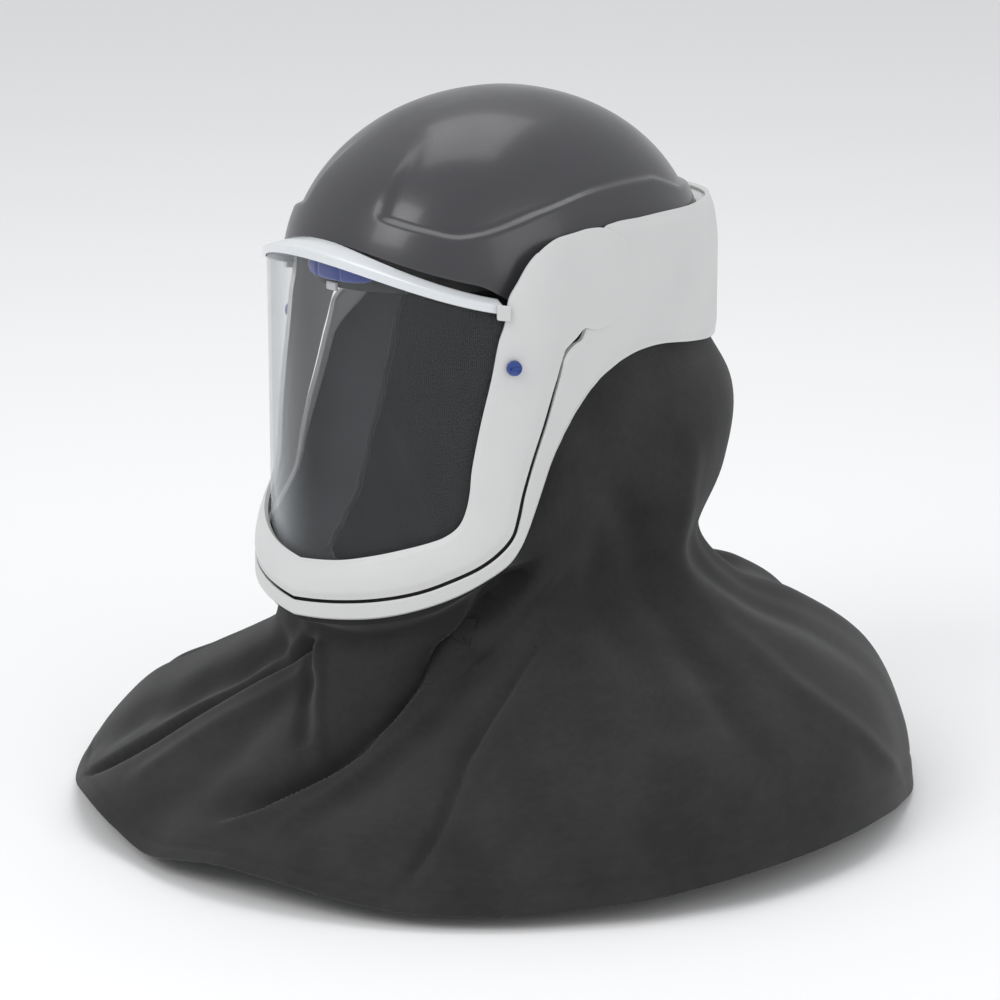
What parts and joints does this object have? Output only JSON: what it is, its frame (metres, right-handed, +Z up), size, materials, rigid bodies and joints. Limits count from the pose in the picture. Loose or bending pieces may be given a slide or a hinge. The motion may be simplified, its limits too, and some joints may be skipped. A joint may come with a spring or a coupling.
{
  "type": "powered respirator helmet with shroud",
  "caption": "Powered respirator helmet: hard crown shell, white wrap-around band, lifting clear visor, air inlet and a dark cloth shroud that falls over the shoulders.",
  "frame": {"origin": "middle of the wearer's head at the level of the head band, where the helmet sits on the head", "axes": "+Z up, the wearer faces -Y, +X is the wearer's left"},
  "size_m": [0.53, 0.53, 0.4382],
  "materials": {
    "shell_plastic": "satin dark grey moulded shell",
    "white_plastic": "off-white moulded plastic",
    "rail_plastic": "pale polished rail",
    "lens_plastic": "clear polycarbonate",
    "blue_plastic": "blue moulded button",
    "blue_foam": "blue fabric over foam",
    "black_plastic": "black moulded plastic",
    "seal_cloth": "dark grey coated cloth",
    "shroud_cloth": "dark grey woven cloth"
  },
  "bodies": {
    "helmet": {"crown_shell": "shell_plastic", "band_frame": "white_plastic", "headband": "black_plastic", "brow_pad": "blue_foam", "face_seal": "seal_cloth", "air_inlet": "black_plastic", "shroud": "shroud_cloth"},
    "visor": {"visor_frame": "white_plastic", "visor_rail": "rail_plastic", "visor_lens": "lens_plastic", "lens_lock_left": "blue_plastic", "lens_lock_right": "blue_plastic", "pivot_pin_left": "black_plastic", "pivot_pin_right": "black_plastic"}
  },
  "joints": [
    {"name": "visor_lift", "type": "hinge", "parent": "helmet", "child": "visor", "pos_m": [0, -0.0136, 0.0075], "axis": [-1, 0, 0], "range_deg": [0, 80]}
  ]
}
